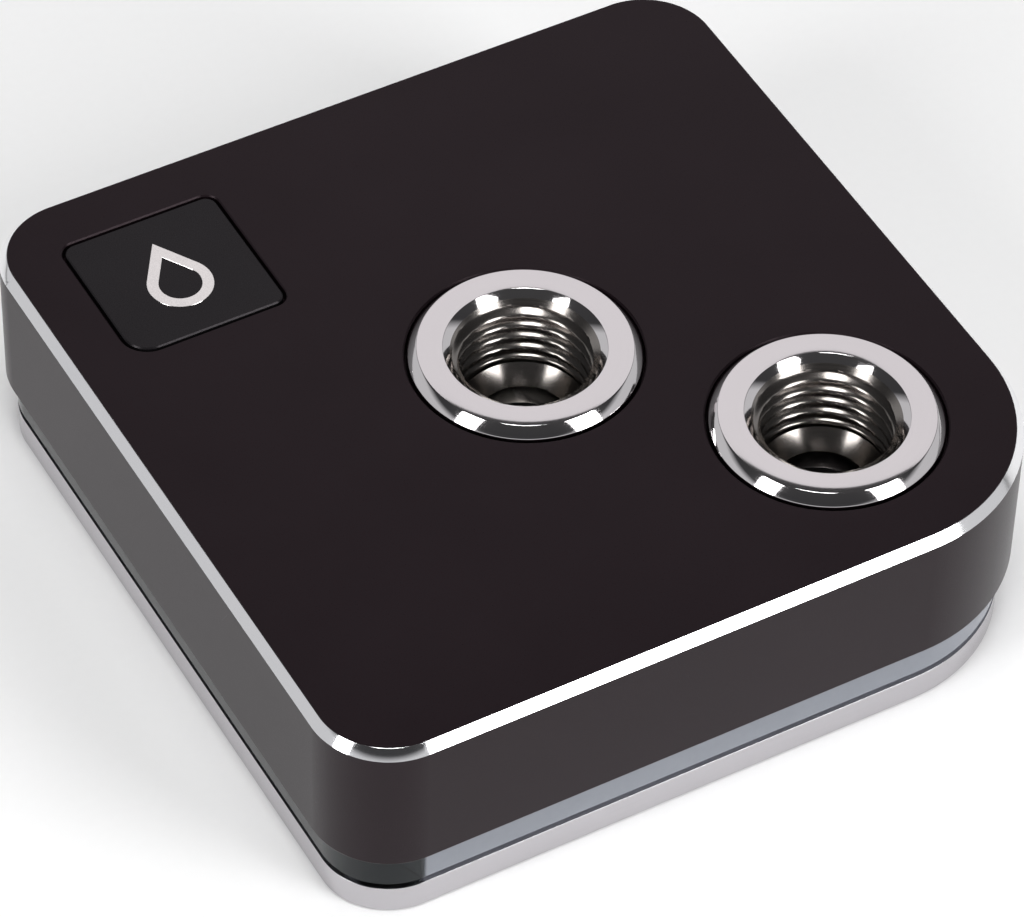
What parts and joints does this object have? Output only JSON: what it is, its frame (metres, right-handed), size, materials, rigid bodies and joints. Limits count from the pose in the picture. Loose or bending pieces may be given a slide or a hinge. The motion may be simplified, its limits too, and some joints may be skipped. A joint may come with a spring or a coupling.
{
  "type": "liquid cooling cold plate",
  "caption": "Square liquid cooling cold plate with a dark anodised cover, threaded coolant ports, a clear spacer layer and a plated finned base.",
  "frame": {"origin": "middle of the flat cold face, at the bottom", "axes": "+Z away from the cold face; -Y is the front side, and the diagonal from the inlet to the outlet runs towards +X and -Y"},
  "size_m": [0.072, 0.072, 0.0224],
  "materials": {
    "anodised_cover": "satin black anodised, edges cut bright",
    "anodised_badge": "satin black anodised",
    "satin_inlay": "satin silver",
    "adhesive_film": "double-sided adhesive film",
    "port_chrome": "polished chrome plating on brass",
    "seal_rubber": "matt",
    "acetal": "machined black acetal",
    "stainless_sheet": "rolled sheet",
    "clear_acrylic": "polished smoke-tinted acrylic",
    "nickel_plate": "bright nickel plating on copper",
    "screw_steel": "stainless"
  },
  "bodies": {
    "root": {"top_cover": "anodised_cover", "badge_tile": "anodised_badge", "badge_inlay": "satin_inlay", "badge_film": "adhesive_film", "inlet_collar": "port_chrome", "outlet_collar": "port_chrome", "inlet_collar_seal": "seal_rubber", "outlet_collar_seal": "seal_rubber", "flow_body": "acetal", "main_seal": "seal_rubber", "nozzle_gasket": "seal_rubber", "jet_plate": "stainless_sheet", "spacer_frame": "clear_acrylic", "base_plate": "nickel_plate", "base_screws": "screw_steel"}
  },
  "joints": []
}
